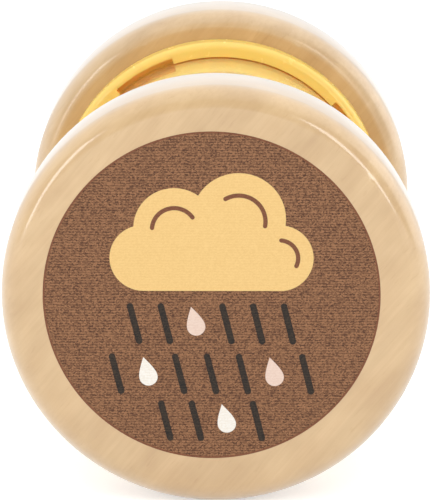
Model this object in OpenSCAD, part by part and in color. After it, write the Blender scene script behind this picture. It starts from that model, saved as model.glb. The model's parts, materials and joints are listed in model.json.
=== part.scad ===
// Rainmaker rattle: two turned wooden discs joined by a clear drum that holds sieves and beads.
// It lies on the rims of its discs. X is to the right, the drum's axis runs along Y with the front disc
// at -Y, and Z is up from the surface that it lies on. Sizes are in millimetres.

/* [Wooden discs] */
// Diameter of each disc
disc_d = 70; // [62:1:90]
// Thickness of each disc
disc_t = 16; // [14:0.5:24]
// Radius of the rounding on a disc's edges
disc_edge_r = 3.25; // [1:0.25:5]
// Clear gap between the discs' inner faces
disc_gap = 57; // [50:1:75]
// How far a disc stands out past the flange of its end cap
disc_overhang = 5; // [4:0.25:8]

/* [End caps] */
// Height of the flange above the wood
flange_h = 4; // [3.4:0.1:6]
// Wall of the flange outside the locking channel
flange_t = 1.5; // [1.2:0.1:3]
// Radius of the rounding on the flange's outer edge
flange_edge_r = 1.2; // [0.4:0.1:1.4]
// Thickness of the base plate that is let into the wood
base_t = 2; // [1.5:0.1:4]
// Width of the flange's seat on the wood around the recess
seat_w = 1; // [0.5:0.1:2]
// Wall of the collar that stands inside the tube
collar_t = 1.6; // [1:0.1:2.5]

/* [Bayonet lock] */
// Number of lugs on each end of the tube
lug_n = 4; // [3:1:5]
// Width of the notch that lets a lug in, in degrees
notch_deg = 24; // [16:1:30]
// Play of a lug in its notch, in degrees
notch_play_deg = 2; // [1:0.5:4]
// Turn from the rear flange's first notch to the right-hand side, in degrees
notch_turn = 30; // [0:1:89]
// Height of a lug above the tube
lug_h = 1.1; // [0.8:0.1:2]
// Thickness of the flange's lip over the locking channel
lip_t = 1.6; // [1:0.1:2]

/* [Tube] */
// Wall of the clear tube
tube_t = 2; // [1.5:0.1:3]

/* [Sieves] */
// Thickness of a sieve plate
sieve_t = 1.6; // [1.2:0.1:3]
// Distance from one sieve plate to the next
sieve_pitch = 14; // [12:0.5:16]
// Diameter of a sieve's holes
sieve_hole_d = 4.8; // [4.4:0.1:6]
// Least wall between a sieve's holes
sieve_web = 1.6; // [1.2:0.1:3]
// Plain rim around a sieve's holes
sieve_rim = 1; // [0.8:0.1:3]
// Turn of each sieve's holes against the one before it, in degrees
sieve_turn = 11; // [0:1:45]
// Wall of a sieve's hub, and of the socket that holds the rod
hub_t = 2; // [1.2:0.1:3]
// Diameter of the centre rod
rod_d = 5; // [3:0.5:8]
// Chamfer on the rod's ends
rod_chamfer = 0.6; // [0.2:0.1:1]

/* [Beads] */
// Diameter of a bead
bead_d = 4; // [3:0.1:4.2]
// Room between neighbouring beads
bead_gap = 0.3; // [0.2:0.05:0.6]
// Room between a bead and the wall that it lies on
bead_lift = 0.3; // [0.3:0.05:0.6]
// Beads in each row along the wall
bead_n = 7; // [3:1:9]
// Loose beads on top of the rows
loose_n = 5; // [2:1:7]

/* [Screws] */
// Number of screws in each end cap
screw_n = 3; // [3:1:6]
// Radius of the circle that the screws stand on
screw_circle_r = 10; // [9:0.5:12]
// Diameter of a screw's shank
screw_d = 3; // [2:0.1:4]
// Diameter of a screw's head
screw_head_d = 5.6; // [4.5:0.1:8]
// Height of a screw's head
screw_head_h = 2; // [1.2:0.1:3]
// Length of a screw under its head
screw_l = 12; // [8:0.5:14]

/* [Clearances] */
// Room around the tube, the base plates and the sieves
fit_gap = 0.15; // [0.1:0.05:0.3]
// Room around the rod and the screws
pin_gap = 0.08; // [0.05:0.01:0.15]

/* [Hidden] */
$fn = 96;
SHADES = ["white", "yellow", "brown"];
CHAMBERS = ["front", "inner_front", "inner_rear", "rear"];

// Colours
WOOD = [0.88, 0.75, 0.58];
YELLOW = [0.96, 0.77, 0.35];
CLEAR = [0.86, 0.92, 0.94, 0.35];
STEEL = [0.72, 0.72, 0.74];
BEAD_COLOURS = [[0.95, 0.93, 0.88], [0.96, 0.77, 0.35], [0.45, 0.28, 0.18]];

// Overlap that makes a cut run clear of a face
cut = 1;

// Radii, from the disc inwards
disc_r = disc_d / 2;
flange_r = disc_r - disc_overhang;
base_r = flange_r - seat_w;
channel_r = flange_r - flange_t;
tube_r = channel_r - fit_gap - lug_h;
lip_r = tube_r + fit_gap;
tube_in_r = tube_r - tube_t;
collar_r = tube_in_r - fit_gap;
collar_in_r = collar_r - collar_t;
sieve_r = tube_in_r - fit_gap;
rod_r = rod_d / 2;
hub_in_r = rod_r + pin_gap;
hub_r = hub_in_r + hub_t;

// Places along the axis, from the middle of the drum towards the front
half_gap = disc_gap / 2;
end_sieve_z = sieve_pitch;
collar_h = half_gap - end_sieve_z - sieve_t / 2;
socket_h = half_gap - end_sieve_z - sieve_pitch / 2;
channel_h = flange_h - lip_t;
lug_t = channel_h - fit_gap;

// A locked lug lies half a pitch round from its notch
notch_pitch = 360 / lug_n;
lug_deg = notch_deg - notch_play_deg;

// Rows of holes in a sieve
hole_pitch = sieve_hole_d + sieve_web;
hole_rows = floor((sieve_r - sieve_rim - hub_r) / hole_pitch);

// Middle of each chamber along the axis, and the wall that its beads lie on
inner_chamber_z = sieve_pitch / 2;
end_chamber_z = (half_gap + end_sieve_z + sieve_t / 2) / 2;
chamber_zs = [end_chamber_z, inner_chamber_z, -inner_chamber_z, -end_chamber_z];
chamber_wall_rs = [collar_in_r, tube_in_r, tube_in_r, collar_in_r];

// Least distance between the centres of two beads, and the circles that the two layers lie on
bead_step = bead_d + bead_gap;
bead_low_rs = [for (wall_r = chamber_wall_rs) wall_r - bead_lift - bead_d / 2];
bead_high_rs = [for (low_r = bead_low_rs) low_r - bead_step];

// Angle between neighbouring beads on a circle
function bead_angle(r) = 2 * asin(bead_step / 2 / r);

// Lays a piece drawn along Z down on the surface, with its +Z end towards the front
module lie_down() translate([0, 0, disc_r]) rotate([90, 0, 0]) children();

// Sets a piece that is drawn from the wood upwards on the rear disc
module at_rear() translate([0, 0, -half_gap]) children();

// Sets the same piece on the front disc, turned to face the rear
module at_front() rotate([0, 180, 0]) at_rear() children();

// Places a piece at each step of a circle
module around(n, r, turn = 0) for (i = [0:n - 1]) rotate(turn + i * 360 / n) translate([r, 0, 0]) children();

// What is cut off an outer corner to leave it round
module corner_waste(r) difference() {
    square(r + cut);
    circle(r);
}

// Section of a turned disc with both outer edges rounded
module disc_section() difference() {
    translate([0, -disc_t]) square([disc_r, disc_t]);
    translate([disc_r - disc_edge_r, -disc_edge_r]) corner_waste(disc_edge_r);
    translate([disc_r - disc_edge_r, disc_edge_r - disc_t]) mirror([0, 1]) corner_waste(disc_edge_r);
}

// Turned disc with the recess and pilot holes that take its end cap
module disc() color(WOOD) difference() {
    rotate_extrude() disc_section();
    translate([0, 0, -base_t]) cylinder(r = base_r + fit_gap, h = base_t + cut);
    around(screw_n, screw_circle_r, 90) screw_pilot();
}

// Pilot hole under a screw, a little deeper than its point
module screw_pilot() translate([0, 0, -screw_l - cut]) cylinder(r = screw_d / 2 + pin_gap, h = screw_l + 2 * cut);

// Section of an end cap: base plate, flange with its lip, collar and rod socket
module cap_section() {
    edge = min(flange_edge_r, flange_t);
    translate([0, -base_t]) square([base_r, base_t]);
    difference() {
        translate([lip_r, 0]) square([flange_r - lip_r, flange_h]);
        translate([lip_r - cut, -cut]) square([channel_r - lip_r + cut, channel_h + cut]);
        translate([flange_r - edge, flange_h - edge]) corner_waste(edge);
    }
    translate([collar_in_r, 0]) square([collar_t, collar_h]);
    translate([hub_in_r, 0]) square([hub_t, socket_h]);
}

// Wedge of a ring, centred on its own angle
module ring_wedge(r_in, r_out, h, deg) rotate(-deg / 2) rotate_extrude(angle = deg)
    translate([r_in, 0]) square([r_out - r_in, h]);

// End cap with a notch in its lip for each lug
module cap() color(YELLOW) difference() {
    rotate_extrude() cap_section();
    for (i = [0:lug_n - 1]) rotate(notch_turn + i * notch_pitch) translate([0, 0, channel_h - cut])
        ring_wedge(lip_r - cut / 2, channel_r, lip_t + 2 * cut, notch_deg);
    around(screw_n, screw_circle_r, 90) screw_pilot();
}

// Wood screw with a domed head, its head standing on the base plate
module screw() {
    dome_r = (screw_head_d * screw_head_d / 4 + screw_head_h * screw_head_h) / (2 * screw_head_h);
    intersection() {
        cylinder(d = screw_head_d, h = screw_head_h);
        translate([0, 0, screw_head_h - dome_r]) sphere(r = dome_r);
    }
    translate([0, 0, screw_d - screw_l]) cylinder(d = screw_d, h = screw_l - screw_d);
    translate([0, 0, -screw_l]) cylinder(r1 = 0, r2 = screw_d / 2, h = screw_d);
}

module cap_screws() color(STEEL) around(screw_n, screw_circle_r, 90) screw();

// Lugs at one end of the tube, turned into the locking channel
module tube_lugs() for (i = [0:lug_n - 1]) rotate(notch_turn + (i + 0.5) * notch_pitch)
    ring_wedge(tube_r - tube_t / 2, tube_r + lug_h, lug_t, lug_deg);

module tube() color(CLEAR) {
    translate([0, 0, -half_gap]) rotate_extrude() translate([tube_in_r, 0]) square([tube_t, disc_gap]);
    at_rear() tube_lugs();
    at_front() tube_lugs();
}

// Rod through the sieves' hubs, its ends in the two sockets
module centre_rod() color(WOOD) rotate_extrude() difference() {
    translate([0, -half_gap]) square([rod_r, disc_gap]);
    for (end = [0, 1]) mirror([0, end]) translate([rod_r, half_gap]) rotate(45)
        square(rod_chamfer * sqrt(2), center = true);
}

// Holes of one row, as many as leave the web between them
module hole_row(r) {
    n = floor(180 / asin(hole_pitch / 2 / r));
    around(n, r) translate([0, 0, -sieve_t]) cylinder(d = sieve_hole_d, h = 2 * sieve_t);
}

// Perforated plate on a hub that spaces it from the next one
module sieve(place) color(YELLOW) translate([0, 0, place * sieve_pitch]) difference() {
    union() {
        translate([0, 0, -sieve_t / 2]) cylinder(r = sieve_r, h = sieve_t);
        translate([0, 0, -sieve_pitch / 2]) cylinder(r = hub_r, h = sieve_pitch);
    }
    translate([0, 0, -sieve_pitch]) cylinder(r = hub_in_r, h = 2 * sieve_pitch);
    rotate(place * sieve_turn) for (row = [0:hole_rows - 1])
        hole_row(hub_r + sieve_web + sieve_hole_d / 2 + row * hole_pitch);
}

// One bead at an angle from straight down
module bead(r, from_bottom, z) rotate(from_bottom - 90) translate([r, 0, z]) sphere(d = bead_d);

// Beads of one colour in a chamber, in two rows along its wall
module wall_beads(chamber, shade) color(BEAD_COLOURS[shade]) translate([0, 0, chamber_zs[chamber]]) {
    r = bead_low_rs[chamber];
    for (side = [0, 1], i = [0:bead_n - 1]) if ((i + side + chamber) % len(SHADES) == shade)
        bead(r, (i - (bead_n - 1) / 2) * bead_angle(r), (side - 0.5) * bead_step);
}

// Loose beads that lie on top of a chamber's two rows
module loose_beads(chamber) color(BEAD_COLOURS[chamber % 2]) translate([0, 0, chamber_zs[chamber]]) {
    r = bead_high_rs[chamber];
    for (i = [0:loose_n - 1]) bead(r, (i - (loose_n - 1) / 2) * bead_angle(r), 0);
}

lie_down() at_front() disc();  // front_disc
lie_down() at_rear() disc();  // rear_disc
lie_down() at_front() cap();  // front_cap
lie_down() at_rear() cap();  // rear_cap
lie_down() at_front() cap_screws();  // front_cap_screws
lie_down() at_rear() cap_screws();  // rear_cap_screws
lie_down() tube();
lie_down() centre_rod();
lie_down() sieve(1);  // front_sieve
lie_down() sieve(0);  // middle_sieve
lie_down() sieve(-1);  // rear_sieve
for (chamber = [0:len(CHAMBERS) - 1]) {
    for (shade = [0:len(SHADES) - 1])
        lie_down() wall_beads(chamber, shade);
    lie_down() loose_beads(chamber);
}
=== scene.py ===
"""Looks of the rainmaker rattle: turned wood, printed front, moulded caps, clear drum and beads."""
import json
import math

import bpy
from mathutils import Matrix, Vector


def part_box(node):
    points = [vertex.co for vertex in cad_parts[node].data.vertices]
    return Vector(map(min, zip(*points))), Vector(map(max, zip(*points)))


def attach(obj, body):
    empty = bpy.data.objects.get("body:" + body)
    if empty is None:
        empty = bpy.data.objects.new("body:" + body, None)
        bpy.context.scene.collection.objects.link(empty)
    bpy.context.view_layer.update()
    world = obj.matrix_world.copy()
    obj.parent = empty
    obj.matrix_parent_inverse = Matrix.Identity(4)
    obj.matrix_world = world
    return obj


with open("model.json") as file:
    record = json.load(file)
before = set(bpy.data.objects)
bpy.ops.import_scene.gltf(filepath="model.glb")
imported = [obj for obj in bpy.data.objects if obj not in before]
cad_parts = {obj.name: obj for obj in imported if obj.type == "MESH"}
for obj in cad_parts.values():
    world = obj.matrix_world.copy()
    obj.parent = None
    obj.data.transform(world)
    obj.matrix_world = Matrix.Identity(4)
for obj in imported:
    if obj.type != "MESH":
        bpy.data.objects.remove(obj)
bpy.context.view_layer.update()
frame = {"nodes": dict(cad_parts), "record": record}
cad = frame["nodes"]
MM = 0.001

# Sizes read from the frame
disc_low, disc_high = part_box("front_disc")
DISC_R = (disc_high.x - disc_low.x) / 2
AXIS_Z = (disc_high.z + disc_low.z) / 2
FRONT_Y = disc_low.y
BODY = "rattle"

# Rim of each disc: the middle of its thickness and its inner end, the rounding of its edges, half the
# straight part between them, and the lean of its crown
DISC_MID = abs(disc_low.y + disc_high.y) / 2
INNER_EDGE = abs(disc_high.y)
EDGE_R = 3.25 * MM
RIM_HALF = (disc_high.y - disc_low.y) / 2 - EDGE_R
RIM_LEAN = 0.13

# Lacquer on the rim: its share along the middle, and how many rim halves out it starts to gain and is full
RIM_LACQUER = 0.25
GAINS_FROM = 0.6
FULL_FROM = 1.5

# Wood: its tones, the lean of the discs' grain, where the lacquer starts past their inner faces, and the tint
# of their inner flats there: painted shade, warmer and darker, that stands in for the shade between the discs
FRONT_TONE = (211, 174, 118)
REAR_TONE = (214, 181, 133)
ROD_TONE = (214, 180, 134)
GRAIN_LEAN = math.radians(50)
LACQUER_START = 0.06 * MM
LACQUER_FADE = 0.3 * MM
INNER_SHADE_TINT = (250, 241, 218)

# Camera, fitted to the photograph of 433 by 500 pixels; the place of the front face is in disc radii
PHOTO_H = 500
FOCAL_PX = 2960.6
LOOK_DOWN = math.radians(14.115)
LOOK_ASIDE = math.radians(0.716)
FACE_RIGHT = -0.0048
FACE_UP = -0.2334
FACE_AHEAD = 13.7161
SENSOR_MM = 36.0

# Waves that Blender's wave texture draws in one unit of length
WAVE_UNIT = 10 / math.pi

# Sockets of Blender's Mix node, which has its own for each kind of value
MIX_SHARE = 0
MIX_LEVELS = (2, 3)
MIX_COLOURS = (6, 7)
MIX_LEVEL_OUT = 0
MIX_COLOUR_OUT = 2

# Light tent: where its overhead part starts, as the upward share of a direction, and how softly
TENT_EDGE = math.sin(math.radians(36))
TENT_SOFT = 0.08

# Front and back of the tent: where they start and are full, as the share of a direction towards them; then
# how softly its left turns into its right
TENT_END_START = 0.35
TENT_END_FULL = 0.65
TENT_SIDE_SOFT = 0.2

# Levels of the tent's front, left, right and back: as light, and as gloss shows them
LIT_LOW = (0.25, 1.84, 1.84, 0.6)
LIT_OVERHEAD = (1.8, 1.25, 1.25, 1.0)
SHOWN_LOW = (0.6, 1.2, 2.5, 0.8)
SHOWN_OVERHEAD = (1, 1, 1.5, 0.9)

# Print on the front disc: its circle and the place of its middle, a little off the disc's own
PRINT_R = 27.4 * MM
PRINT_X = -0.64 * MM
PRINT_Z = AXIS_Z + 0.56 * MM

# Ink: the thickness of a layer, how deep its back is sunk in the wood, and the layers in their order
INK_T = 0.02 * MM
INK_SUNK = 0.01 * MM
GROUND_LAYER = 1
PICTURE_LAYER = 2
CURL_LAYER = 3

# Printing: the pitch of its ruled lines, the width of its rim line, and the Y of a normal under which a face
# looks front
PRINT_PITCH_MM = 0.45
RIM_LINE = 0.3 * MM
LOOKS_FRONT = -0.9

# The picture in the print, from its middle: places in mm to the right and up. A puff has its radius as well,
# and a curl its radius and its two ends in degrees from the right.
CLOUD_HALF = 11 * MM
CLOUD_UP = 6.5 * MM
CLOUD_FOOT = 5.5 * MM
CLOUD_PUFFS = ((-6.0, 11.5, 6.6), (4.4, 13.0, 7.6))
CLOUD_CURLS = ((-6.0, 11.2, 3.6, 35, 175), (4.4, 12.6, 4.3, -10, 120), (11.0, 6.5, 3.0, -25, 85))
CURL_WIDTH = 0.7 * MM
CURL_STEPS = 32
STROKE_LONG = 6.0 * MM
STROKE_WIDTH = 1.1 * MM
RAIN_LEAN = math.radians(14)
RAIN_STROKES = (
    (-12.5, -4.5), (-7.5, -4.5), (2.5, -4.5), (7.5, -4.5), (12.5, -4.5),
    (-15.5, -13), (-5.2, -13), (0, -13), (5.2, -13), (15.5, -13),
    (-7.5, -21), (-2.5, -21), (7.5, -21))

# A drop of rain: its radius, and in radii how far its point is drawn up and how much of it follows
DROP_R = 1.5 * MM
DROP_POINT = 1.3
DROP_PULL = 1.5
PINK_DROPS = ((-2.5, -5.0), (10.3, -13.5))
WHITE_DROPS = ((-10.3, -13.5), (2.5, -21.5))


def srgb(red, green, blue):
    """A colour as a picture shows it, 0 to 255, turned into the linear colour that shaders take."""
    def linear(value):
        value /= 255
        return value / 12.92 if value <= 0.04045 else ((value + 0.055) / 1.055) ** 2.4
    return (linear(red), linear(green), linear(blue), 1.0)


UNTINTED = srgb(255, 255, 255)


# Node helpers

def plug(tree, value, socket):
    """Feeds a socket from another one, or sets it to a plain number or colour."""
    if isinstance(value, bpy.types.NodeSocket):
        tree.links.new(value, socket)
    else:
        socket.default_value = value


def any_ray(tree, *kinds):
    """A value that is 1 for rays of these kinds, as Light Path names them, and 0 for others."""
    path = tree.nodes.new("ShaderNodeLightPath")
    total = path.outputs[kinds[0]]
    for kind in kinds[1:]:
        either = tree.nodes.new("ShaderNodeMath")
        either.operation = "MAXIMUM"
        tree.links.new(total, either.inputs[0])
        tree.links.new(path.outputs[kind], either.inputs[1])
        total = either.outputs[0]
    return total


def blend_levels(tree, share, first, second):
    """A level that goes from first to second with a share of 0 to 1; each may be a number or a socket."""
    made = tree.nodes.new("ShaderNodeMix")
    for value, number in zip((share, first, second), (MIX_SHARE, *MIX_LEVELS)):
        plug(tree, value, made.inputs[number])
    return made.outputs[MIX_LEVEL_OUT]


# Camera and stage

def set_camera():
    """Puts the camera where the photograph was taken, from sizes in disc radii."""
    across = Matrix.Rotation(LOOK_ASIDE, 3, "Y")
    down = Matrix.Rotation(-LOOK_DOWN, 3, "X")
    turn = down @ across
    seat = -(turn.transposed() @ Vector((FACE_RIGHT, FACE_UP, FACE_AHEAD))) * DISC_R
    right, up, ahead = (Vector((row.x, row.z, row.y)) for row in turn)
    data = bpy.data.cameras.new("camera")
    data.sensor_width = SENSOR_MM
    data.lens = FOCAL_PX * SENSOR_MM / PHOTO_H
    data.clip_start = 0.01
    data.clip_end = 50
    camera = bpy.data.objects.new("camera", data)
    bpy.context.scene.collection.objects.link(camera)
    place = Matrix((right, up, -ahead)).transposed().to_4x4()
    place.translation = Vector((seat.x, FRONT_Y + seat.z, AXIS_Z + seat.y))
    camera.matrix_world = place
    bpy.context.scene.camera = camera


def add_strip_light(name, aside, rise, distance, width, height, watts):
    """A lamp box that looks at the rattle, set to the camera's right and above the table, in degrees."""
    data = bpy.data.lights.new(name, "AREA")
    data.shape = "RECTANGLE"
    data.size = width
    data.size_y = height
    data.energy = watts
    lamp = bpy.data.objects.new(name, data)
    bpy.context.scene.collection.objects.link(lamp)
    turn = Matrix.Rotation(math.radians(aside), 4, "Z") @ Matrix.Rotation(math.radians(90 - rise), 4, "X")
    lamp.matrix_world = Matrix.Translation((0, 0, AXIS_Z)) @ turn @ Matrix.Translation((0, 0, distance))


def set_world():
    """Light tent with one set of levels as light and one as gloss shows it.

    Seen straight or through glass it is white.
    """
    world = bpy.data.worlds.new("studio")
    bpy.context.scene.world = world
    world.use_nodes = True
    tree = world.node_tree
    way = tree.nodes.new("ShaderNodeSeparateXYZ")
    tree.links.new(tree.nodes.new("ShaderNodeTexCoord").outputs["Generated"], way.inputs[0])

    def zone(axis, start, end):
        """A share that goes smoothly from 0 to 1 as the direction turns along an axis."""
        made = tree.nodes.new("ShaderNodeMapRange")
        made.interpolation_type = "SMOOTHSTEP"
        made.inputs["From Min"].default_value = start
        made.inputs["From Max"].default_value = end
        tree.links.new(way.outputs[axis], made.inputs["Value"])
        return made.outputs["Result"]

    front = zone("Y", -TENT_END_START, -TENT_END_FULL)
    back = zone("Y", TENT_END_START, TENT_END_FULL)
    right = zone("X", -TENT_SIDE_SOFT, TENT_SIDE_SOFT)
    overhead = zone("Z", TENT_EDGE - TENT_SOFT, TENT_EDGE + TENT_SOFT)

    def tent(low, high):
        """The level in any direction, from those of the low part and of the overhead part."""
        rings = []
        for ahead, on_left, on_right, behind in (low, high):
            sides = blend_levels(tree, right, on_left, on_right)
            rings.append(blend_levels(tree, back, blend_levels(tree, front, sides, ahead), behind))
        return blend_levels(tree, overhead, *rings)

    gloss = any_ray(tree, "Is Glossy Ray")
    level = blend_levels(tree, gloss, tent(LIT_LOW, LIT_OVERHEAD), tent(SHOWN_LOW, SHOWN_OVERHEAD))
    level = blend_levels(tree, any_ray(tree, "Is Camera Ray", "Is Transmission Ray"), level, 1.0)
    tree.links.new(level, tree.nodes["Background"].inputs["Strength"])
    tree.nodes["Background"].inputs["Color"].default_value = (1, 1, 1, 1)


def add_floor(size, tone, glow):
    """Pale floor that keeps soft shadows, brightened to white where it is seen."""
    bpy.ops.object.select_all(action="DESELECT")
    bpy.ops.mesh.primitive_plane_add(size=size)
    floor = bpy.context.object
    floor.name = "floor"
    mat = bpy.data.materials.new("floor_paper")
    mat.use_nodes = True
    tree = mat.node_tree
    paper = tree.nodes["Principled BSDF"]
    paper.inputs["Base Color"].default_value = (tone, tone, tone, 1)
    paper.inputs["Roughness"].default_value = 1
    paper.inputs["Specular IOR Level"].default_value = 0
    paper.inputs["Emission Color"].default_value = (1, 1, 1, 1)
    level = tree.nodes.new("ShaderNodeMath")
    level.operation = "MULTIPLY"
    level.inputs[1].default_value = glow
    seen = any_ray(tree, "Is Camera Ray", "Is Glossy Ray", "Is Transmission Ray")
    tree.links.new(seen, level.inputs[0])
    tree.links.new(level.outputs[0], paper.inputs["Emission Strength"])
    floor.data.materials.append(mat)


# Shader parts that the materials share

class Finish:
    """A material under construction: one Principled shader and the patterns that feed it."""

    def __init__(self, name):
        self.mat = bpy.data.materials.new(name)
        self.mat.use_nodes = True
        self.tree = self.mat.node_tree
        self.shader = self.tree.nodes["Principled BSDF"]
        self.place = self.tree.nodes.new("ShaderNodeTexCoord").outputs["Object"]

    def set(self, **values):
        """Sets the shader's own sockets, with _ for a space in their names."""
        for name, value in values.items():
            self.shader.inputs[name.replace("_", " ")].default_value = value
        return self

    def feed(self, source, target):
        """Links one socket to another."""
        self.tree.links.new(source, target)

    def drive(self, source, name):
        """Links a pattern to one of the shader's sockets."""
        self.feed(source, self.shader.inputs[name])

    def pattern(self, kind, long_mm, lean=0.0):
        """A texture whose unit is so many mm long along X, Y and Z, leaned round Y from X towards Z."""
        mapping = self.tree.nodes.new("ShaderNodeMapping")
        mapping.vector_type = "TEXTURE"
        mapping.inputs["Scale"].default_value = Vector(long_mm) * MM
        mapping.inputs["Rotation"].default_value = (0, -lean, 0)
        self.feed(self.place, mapping.inputs["Vector"])
        made = self.tree.nodes.new(kind)
        made.inputs["Scale"].default_value = 1
        self.feed(mapping.outputs["Vector"], made.inputs["Vector"])
        return made

    def noise(self, long_mm, detail=2.0, rough=0.5, distort=0.0, lean=0.0):
        """Noise with features of the given size."""
        made = self.pattern("ShaderNodeTexNoise", long_mm, lean)
        made.inputs["Detail"].default_value = detail
        made.inputs["Roughness"].default_value = rough
        made.inputs["Distortion"].default_value = distort
        return made.outputs["Fac"]

    def grains(self, long_mm):
        """Small cells, each of its own random level."""
        return self.pattern("ShaderNodeTexVoronoi", long_mm).outputs["Color"]

    def ruling(self, pitch_mm, uneven):
        """Level lines a pitch apart, more or less uneven."""
        unit = pitch_mm * WAVE_UNIT
        made = self.pattern("ShaderNodeTexWave", (unit, unit, unit))
        made.bands_direction = "Z"
        made.inputs["Distortion"].default_value = uneven
        return made.outputs["Fac"]

    def ramp(self, source, stops):
        """Colours along a pattern, given as (place, colour) pairs."""
        made = self.tree.nodes.new("ShaderNodeValToRGB")
        row = made.color_ramp.elements
        while len(row) < len(stops):
            row.new(0.5)
        for element, (place, colour) in zip(row, stops):
            element.position = place
            element.color = colour
        self.feed(source, made.inputs["Fac"])
        return made.outputs["Color"]

    def span(self, source, low, high, start=0.3, end=0.7):
        """A value that runs from low to high as the pattern goes from start to end."""
        made = self.tree.nodes.new("ShaderNodeMapRange")
        for name, value in zip(("From Min", "From Max", "To Min", "To Max"), (start, end, low, high)):
            made.inputs[name].default_value = value
        self.feed(source, made.inputs["Value"])
        return made.outputs["Result"]

    def mix(self, amount, first, second, blend="MIX"):
        """Mixes two colours, each a socket or a plain colour."""
        made = self.tree.nodes.new("ShaderNodeMix")
        made.data_type = "RGBA"
        made.blend_type = blend
        for value, number in zip((amount, first, second), (MIX_SHARE, *MIX_COLOURS)):
            plug(self.tree, value, made.inputs[number])
        return made.outputs[MIX_COLOUR_OUT]

    def combine(self, first, second, operation="ADD"):
        """Adds two values, or does another Math operation; each may be a number or a socket."""
        made = self.tree.nodes.new("ShaderNodeMath")
        made.operation = operation
        for value, socket in zip((first, second), made.inputs):
            plug(self.tree, value, socket)
        return made.outputs[0]

    def bump(self, height, depth, facing=None):
        """Relief of the given depth in metres, on the surface's own facing or on another."""
        made = self.tree.nodes.new("ShaderNodeBump")
        made.inputs["Strength"].default_value = 1
        made.inputs["Distance"].default_value = depth
        self.feed(height, made.inputs["Height"])
        if facing:
            self.feed(facing, made.inputs["Normal"])
        self.drive(made.outputs["Normal"], "Normal")

    def openness(self, reach):
        """How open a place is to the light, from 0 in a crevice of its own piece to 1 on a free surface."""
        made = self.tree.nodes.new("ShaderNodeAmbientOcclusion")
        made.only_local = True
        made.samples = 8
        made.inputs["Distance"].default_value = reach
        return made.outputs["AO"]

    def along(self):
        """Place along the Y axis, from the middle of the drum."""
        split = self.tree.nodes.new("ShaderNodeSeparateXYZ")
        self.feed(self.place, split.inputs[0])
        return split.outputs["Y"]

    def end_distance(self):
        """How far a place is from the middle of the drum, towards either end."""
        return self.combine(self.along(), 0.0, "ABSOLUTE")

    def crowned(self, middle, half, lean):
        """Facing of a rim that hand sanding has left slightly crowned, for a disc at either end."""
        off = self.combine(self.end_distance(), middle, "SUBTRACT")
        slope = self.span(off, -lean, lean, -half, half)
        tip = self.combine(slope, self.combine(self.along(), 0.0, "SIGN"), "MULTIPLY")
        join = self.tree.nodes.new("ShaderNodeCombineXYZ")
        self.feed(tip, join.inputs["Y"])
        add = self.tree.nodes.new("ShaderNodeVectorMath")
        self.feed(self.tree.nodes.new("ShaderNodeNewGeometry").outputs["Normal"], add.inputs[0])
        self.feed(join.outputs[0], add.inputs[1])
        even = self.tree.nodes.new("ShaderNodeVectorMath")
        even.operation = "NORMALIZE"
        self.feed(add.outputs[0], even.inputs[0])
        return even.outputs[0]


# Materials

def make_maple(name, tone, long, lean=0.0):
    """Pale maple with its figure drawn out along an axis; returns it, its colour and its fibres."""
    def grain(length, width):
        """Size of a pattern's unit, long along the grain."""
        return tuple(length if axis == long else width for axis in "XYZ")
    wood = Finish(name)
    figure = wood.noise(grain(55, 9), detail=3, distort=0.8, lean=lean)
    mottle = wood.noise(grain(9, 5), detail=2, lean=lean)
    fibres = wood.noise(grain(13, 0.6), detail=3, rough=0.6, lean=lean)
    flecks = wood.noise(grain(2.6, 0.35), detail=1, lean=lean)
    early, late = (srgb(*(value + shift for value in tone)) for shift in (6, -6))
    colour = wood.ramp(figure, [(0.3, late), (0.7, early)])
    cloud = wood.ramp(mottle, [(0.35, srgb(242, 236, 225)), (0.65, UNTINTED)])
    fibre = wood.ramp(fibres, [(0.3, srgb(248, 244, 237)), (0.65, UNTINTED)])
    fleck = wood.ramp(flecks, [(0.26, srgb(249, 245, 239)), (0.34, UNTINTED)])
    for shade in (cloud, fibre, fleck):
        colour = wood.mix(1.0, colour, shade, "MULTIPLY")
    wood.drive(wood.span(fibres, low=0.3, high=0.4), "Roughness")
    return wood, colour, fibres


def make_disc_wood(name, tone):
    """Maple of a disc: lacquered outside, bare and duller on the flat that faces the drum, darkened there by
    painted shade.
    """
    wood, colour, fibres = make_maple(name, tone, "X", GRAIN_LEAN)
    gloss_start = INNER_EDGE + LACQUER_START
    # Painted shade: the flat that faces the drum is tinted warmer and darker, as the shade between the discs
    # falls there
    inner_shade = wood.ramp(
        wood.span(wood.end_distance(), 0.0, 1.0, INNER_EDGE, gloss_start),
        [(0.2, srgb(*INNER_SHADE_TINT)), (1.0, UNTINTED)])
    wood.drive(wood.mix(1.0, colour, inner_shade, "MULTIPLY"), "Base Color")
    crown = wood.crowned(DISC_MID, RIM_HALF, RIM_LEAN)
    wood.bump(fibres, depth=0.003 * MM, facing=crown)
    wood.feed(crown, wood.shader.inputs["Coat Normal"])
    lacquer = wood.span(wood.end_distance(), 0.0, 1.0, gloss_start, gloss_start + LACQUER_FADE)
    off_middle = wood.combine(wood.combine(wood.end_distance(), DISC_MID, "SUBTRACT"), 0.0, "ABSOLUTE")
    worn = wood.span(off_middle, RIM_LACQUER, 1.0, GAINS_FROM * RIM_HALF, FULL_FROM * RIM_HALF)
    wood.drive(wood.combine(lacquer, worn, "MULTIPLY"), "Coat Weight")
    wood.set(Coat_Roughness=0.1, Coat_IOR=1.6, Sheen_Weight=1.0, Sheen_Roughness=0.6)
    return wood.mat


def make_rod_wood():
    """Plain maple dowel with its grain along the rod."""
    wood, colour, fibres = make_maple("rod_maple", ROD_TONE, "Y")
    wood.drive(colour, "Base Color")
    wood.bump(fibres, depth=0.004 * MM)
    return wood.mat


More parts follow.
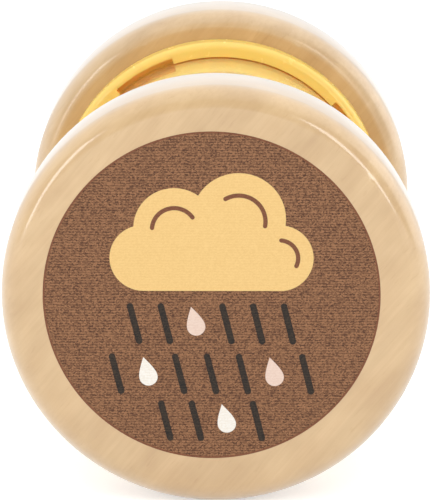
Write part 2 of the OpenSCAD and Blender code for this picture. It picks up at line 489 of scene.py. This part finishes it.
def make_yellow_plastic():
    """Glossy moulded plastic with a faint flow pattern and scuffs, and painted warm bounce light in its
    recesses.
    """
    plastic = Finish("yellow_plastic")
    flow = plastic.noise((22, 22, 22), detail=2)
    scuffs = plastic.noise((1.7, 1.7, 1.7), detail=3)
    open_colour = plastic.ramp(flow, [(0.3, srgb(238, 204, 103)), (0.7, srgb(242, 209, 111))])
    # Painted bounce light: where the piece's own crevices hide a place from light, its colour turns deeper
    # orange
    painted_bounce_share = plastic.span(plastic.openness(reach=4 * MM), low=1.0, high=0.0, start=0.25, end=0.85)
    plastic.drive(plastic.mix(painted_bounce_share, open_colour, srgb(250, 184, 66)), "Base Color")
    plastic.drive(plastic.span(scuffs, low=0.2, high=0.28), "Roughness")
    plastic.bump(scuffs, depth=0.0004 * MM)
    plastic.shader.subsurface_method = "BURLEY"
    plastic.set(Subsurface_Weight=0.7, Subsurface_Radius=(1.0, 0.35, 0.1), Subsurface_Scale=2.5 * MM)
    return plastic.mat


def make_clear_plastic():
    """Clear drum wall that lets light, straight or bounced, reach what is inside it."""
    clear = Finish("clear_plastic")
    clear.set(Base_Color=(0.985, 0.985, 0.98, 1), Roughness=0.03, IOR=1.49, Transmission_Weight=0.965)
    through = clear.tree.nodes.new("ShaderNodeBsdfTransparent")
    through.inputs["Color"].default_value = (1.0, 1.0, 1.0, 1)
    choose = clear.tree.nodes.new("ShaderNodeMixShader")
    clear.feed(any_ray(clear.tree, "Is Shadow Ray", "Is Diffuse Ray"), choose.inputs["Fac"])
    clear.feed(clear.shader.outputs["BSDF"], choose.inputs[1])
    clear.feed(through.outputs["BSDF"], choose.inputs[2])
    clear.feed(choose.outputs["Shader"], clear.tree.nodes["Material Output"].inputs["Surface"])
    return clear.mat


def make_steel():
    """Zinc-plated screw steel, a little uneven."""
    steel = Finish("plated_steel")
    cloud = steel.noise((1.4, 1.4, 1.4), detail=3)
    steel.drive(steel.ramp(cloud, [(0.3, srgb(172, 172, 174)), (0.7, srgb(205, 205, 206))]), "Base Color")
    steel.drive(steel.span(cloud, low=0.25, high=0.42), "Roughness")
    steel.set(Metallic=1.0)
    return steel.mat


def make_bead(name, dark, light):
    """Glossy bead plastic with a slight marbling."""
    bead = Finish(name)
    marble = bead.noise((2.4, 2.4, 2.4), detail=3, distort=1.2)
    bead.drive(bead.ramp(marble, [(0.35, dark), (0.65, light)]), "Base Color")
    bead.drive(bead.span(marble, low=0.16, high=0.26), "Roughness")
    bead.set(Coat_Weight=0.3, Coat_Roughness=0.08)
    return bead.mat


def make_ink(name, colour, speck, amount):
    """Ink printed on wood: the printer's ruled lines and fine dots show in it, and a little of the fibres."""
    ink = Finish(name)
    dots = ink.grains((0.24, 0.3, 0.18))
    lines = ink.ruling(PRINT_PITCH_MM, uneven=0.6)
    fibres = ink.noise((17, 0.6, 0.6), detail=3)
    hatch = ink.combine(dots, 0.7, "MULTIPLY")
    for part, share in ((lines, 0.2), (fibres, 0.1)):
        hatch = ink.combine(hatch, ink.combine(part, share, "MULTIPLY"))
    specks = ink.span(hatch, low=0.0, high=amount, start=0.25, end=0.75)
    ink.drive(ink.mix(specks, colour, speck), "Base Color")
    ink.drive(ink.span(hatch, low=0.55, high=0.68), "Roughness")
    ink.bump(fibres, depth=0.003 * MM)
    ink.set(Specular_IOR_Level=0.3)
    return ink.mat


def dress(material, *names):
    """Gives CAD nodes a material."""
    for name in names:
        for slot in cad[name].material_slots:
            slot.material = material


def dress_cad_nodes():
    """Gives every CAD node its finish; a bead's colour is in its material slot's name."""
    beads = {
        "white": make_bead("white_bead", srgb(232, 226, 212), srgb(246, 242, 232)),
        "yellow": make_bead("yellow_bead", srgb(240, 186, 70), srgb(250, 204, 96)),
        "brown": make_bead("brown_bead", srgb(108, 70, 46), srgb(134, 92, 64)),
    }
    dress(make_disc_wood("front_maple", FRONT_TONE), "front_disc")
    dress(make_disc_wood("rear_maple", REAR_TONE), "rear_disc")
    dress(make_rod_wood(), "centre_rod")
    dress(make_yellow_plastic(), "front_cap", "rear_cap", "front_sieve", "middle_sieve", "rear_sieve")
    dress(make_clear_plastic(), "tube")
    dress(make_steel(), "front_cap_screws", "rear_cap_screws")
    slots = {row["node"]: row["material_slot"] for row in frame["record"]["subparts"]}
    for name in cad:
        if "beads" in name:
            dress(beads[slots[name].removeprefix("bead_")], name)


# Print on the front disc: a cloud over slanting rain, in thin plates of ink

def edit_only(chosen):
    """Opens the active mesh for editing with only the vertices chosen by place selected."""
    mesh = bpy.context.object.data
    bpy.ops.object.mode_set(mode="EDIT")
    bpy.ops.mesh.select_mode(type="VERT")
    bpy.ops.mesh.select_all(action="DESELECT")
    bpy.ops.object.mode_set(mode="OBJECT")
    for vertex in mesh.vertices:
        vertex.select = chosen(vertex.co)
    bpy.ops.object.mode_set(mode="EDIT")


def stop_editing():
    """Turns the edited mesh's faces outwards and returns its object."""
    bpy.ops.mesh.select_all(action="SELECT")
    bpy.ops.mesh.normals_make_consistent(inside=False)
    bpy.ops.object.mode_set(mode="OBJECT")
    return bpy.context.object


def ink_place(layer, right, up):
    """Depth and middle of a plate of ink, right and up from the print's own; layers lie on each other."""
    depth = INK_T * layer + INK_SUNK
    return depth, Vector((PRINT_X + right, FRONT_Y + INK_SUNK - depth / 2, PRINT_Z + up))


def ink_plate(radius, layer, corners=48, right=0.0, up=0.0):
    """A round plate of ink."""
    bpy.ops.object.select_all(action="DESELECT")
    depth, place = ink_place(layer, right, up)
    bpy.ops.mesh.primitive_cylinder_add(
        vertices=corners, radius=radius, depth=depth, location=place, rotation=(math.pi / 2, 0, 0))
    bpy.ops.object.transform_apply(location=True, rotation=True, scale=True)
    return bpy.context.object


def finish_ink(piece, name, *inks):
    """Names a printed piece, inks it and fixes it to the disc."""
    piece.name = name
    for ink in inks:
        piece.data.materials.append(ink)
    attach(piece, BODY)


def print_ground(ink, rim_ink):
    """The brown ground, with the thin darker line where the ink gathers at its rim."""
    ground = ink_plate(PRINT_R, GROUND_LAYER, corners=192)
    front = min(vertex.co.y for vertex in ground.data.vertices)
    edit_only(lambda place: place.y < front + INK_T / 4)
    bpy.ops.mesh.select_mode(type="FACE")
    bpy.ops.mesh.inset(thickness=RIM_LINE)
    stop_editing()
    finish_ink(ground, "print_ground", ink, rim_ink)
    for face in ground.data.polygons:
        if face.normal.y < LOOKS_FRONT and len(face.vertices) == 4:
            face.material_index = 1


def join_by_union(pieces):
    """Makes one plate of several that overlap."""
    first = pieces[0]
    for other in pieces[1:]:
        bpy.ops.object.select_all(action="DESELECT")
        bpy.context.view_layer.objects.active = first
        first.select_set(True)
        union = first.modifiers.new("union", "BOOLEAN")
        union.operation = "UNION"
        union.object = other
        bpy.ops.object.modifier_apply(modifier=union.name)
        bpy.data.objects.remove(other)
    return first


def print_cloud(ink):
    """Puffs of unlike size on a flat-bottomed bar."""
    bar = ink_plate(CLOUD_FOOT, PICTURE_LAYER, right=-CLOUD_HALF, up=CLOUD_UP)
    edit_only(lambda place: place.x > PRINT_X - CLOUD_HALF)
    bpy.ops.transform.translate(value=(2 * CLOUD_HALF, 0, 0))
    stop_editing()
    puffs = [
        ink_plate(radius * MM, PICTURE_LAYER, right=right * MM, up=up * MM)
        for right, up, radius in CLOUD_PUFFS]
    finish_ink(join_by_union([bar] + puffs), "print_cloud", ink)


def curl_band(right, up, radius, start, sweep):
    """A band of ink spun from a small upright plate round a puff's middle, in radians from its right."""
    bpy.ops.object.select_all(action="DESELECT")
    depth, middle = ink_place(CURL_LAYER, right, up)
    outward = Vector((math.cos(start), 0, math.sin(start)))
    bpy.ops.mesh.primitive_plane_add(size=1, location=middle + radius * outward, rotation=(0, -start, 0))
    bpy.context.object.scale = (CURL_WIDTH, depth, 1)
    bpy.ops.object.transform_apply(location=True, rotation=True, scale=True)
    bpy.ops.object.mode_set(mode="EDIT")
    bpy.ops.mesh.select_all(action="SELECT")
    bpy.ops.mesh.spin(steps=CURL_STEPS, angle=sweep, center=middle, axis=(0, 1, 0))
    return stop_editing()


def print_curls(ink):
    """Thin round-ended curled lines that mark the puffs."""
    pieces = []
    for right, up, radius, *angles in CLOUD_CURLS:
        right, up, radius = right * MM, up * MM, radius * MM
        start, stop = (math.radians(angle) for angle in angles)
        pieces.append(curl_band(right, up, radius, start, stop - start))
        for end in (start, stop):
            tip_right = right + radius * math.cos(end)
            tip_up = up + radius * math.sin(end)
            pieces.append(ink_plate(CURL_WIDTH / 2, CURL_LAYER, corners=20, right=tip_right, up=tip_up))
    finish_ink(join_by_union(pieces), "print_curls", ink)


def scatter(original, places, name, ink):
    """Copies one printed mark to its places, given right and up from the print's middle."""
    copies = []
    for right, up in places:
        bpy.ops.object.select_all(action="DESELECT")
        bpy.context.view_layer.objects.active = original
        original.select_set(True)
        bpy.ops.object.duplicate()
        bpy.ops.object.mode_set(mode="EDIT")
        bpy.ops.mesh.select_all(action="SELECT")
        bpy.ops.transform.translate(value=(right * MM, 0, up * MM))
        copies.append(stop_editing())
    bpy.data.objects.remove(original)
    bpy.ops.object.select_all(action="DESELECT")
    for piece in copies:
        piece.select_set(True)
    bpy.context.view_layer.objects.active = copies[0]
    bpy.ops.object.join()
    finish_ink(bpy.context.object, name, ink)


def slant():
    """Leans the mark being edited as the rain leans."""
    bpy.ops.mesh.select_all(action="SELECT")
    bpy.ops.transform.rotate(
        value=RAIN_LEAN, orient_axis="Y", orient_type="GLOBAL", center_override=(PRINT_X, FRONT_Y, PRINT_Z))


def print_strokes(ink):
    """Round-ended strokes of rain, from a small round plate pulled long."""
    stroke = ink_plate(STROKE_WIDTH / 2, PICTURE_LAYER, corners=20, up=-STROKE_LONG / 2)
    edit_only(lambda place: place.z > PRINT_Z - STROKE_LONG / 2)
    bpy.ops.transform.translate(value=(0, 0, STROKE_LONG))
    slant()
    stop_editing()
    scatter(stroke, RAIN_STROKES, "print_rain", ink)


def print_drops(ink, places, name):
    """Pointed drops, from a small round plate with its top drawn up."""
    drop = ink_plate(DROP_R, PICTURE_LAYER, corners=40)
    top = max(vertex.co.z for vertex in drop.data.vertices)
    edit_only(lambda place: place.z > top - INK_T / 4)
    bpy.ops.transform.translate(
        value=(0, 0, DROP_R * DROP_POINT), use_proportional_edit=True, proportional_edit_falloff="SHARP",
        proportional_size=DROP_R * DROP_PULL)
    slant()
    stop_editing()
    scatter(drop, places, name, ink)


def print_picture():
    """The whole print, from its ground up."""
    black = make_ink("black_ink", srgb(20, 15, 11), srgb(66, 53, 41), 0.8)
    brown = make_ink("brown_ink", srgb(76, 44, 27), srgb(158, 113, 79), 1.0)
    rim = make_ink("rim_ink", srgb(112, 66, 44), srgb(140, 92, 64), 0.7)
    yellow = make_ink("yellow_ink", srgb(240, 202, 134), srgb(228, 186, 118), 0.6)
    pink = make_ink("pink_ink", srgb(235, 211, 196), srgb(222, 192, 174), 0.6)
    white = make_ink("white_ink", srgb(246, 242, 234), srgb(232, 222, 206), 0.6)
    print_ground(brown, rim)
    print_cloud(yellow)
    print_curls(rim)
    print_strokes(black)
    print_drops(pink, PINK_DROPS, "print_pink_drops")
    print_drops(white, WHITE_DROPS, "print_white_drops")


set_camera()
set_world()
add_floor(size=8, tone=0.8, glow=0.5)
add_strip_light("left_strip", aside=-33, rise=11, distance=1.1, width=0.18, height=0.5, watts=1.5)
add_strip_light("right_strip", aside=21, rise=11, distance=1.1, width=0.15, height=0.5, watts=1.3)
dress_cad_nodes()
print_picture()

bpy.context.scene.view_settings.view_transform = "Standard"
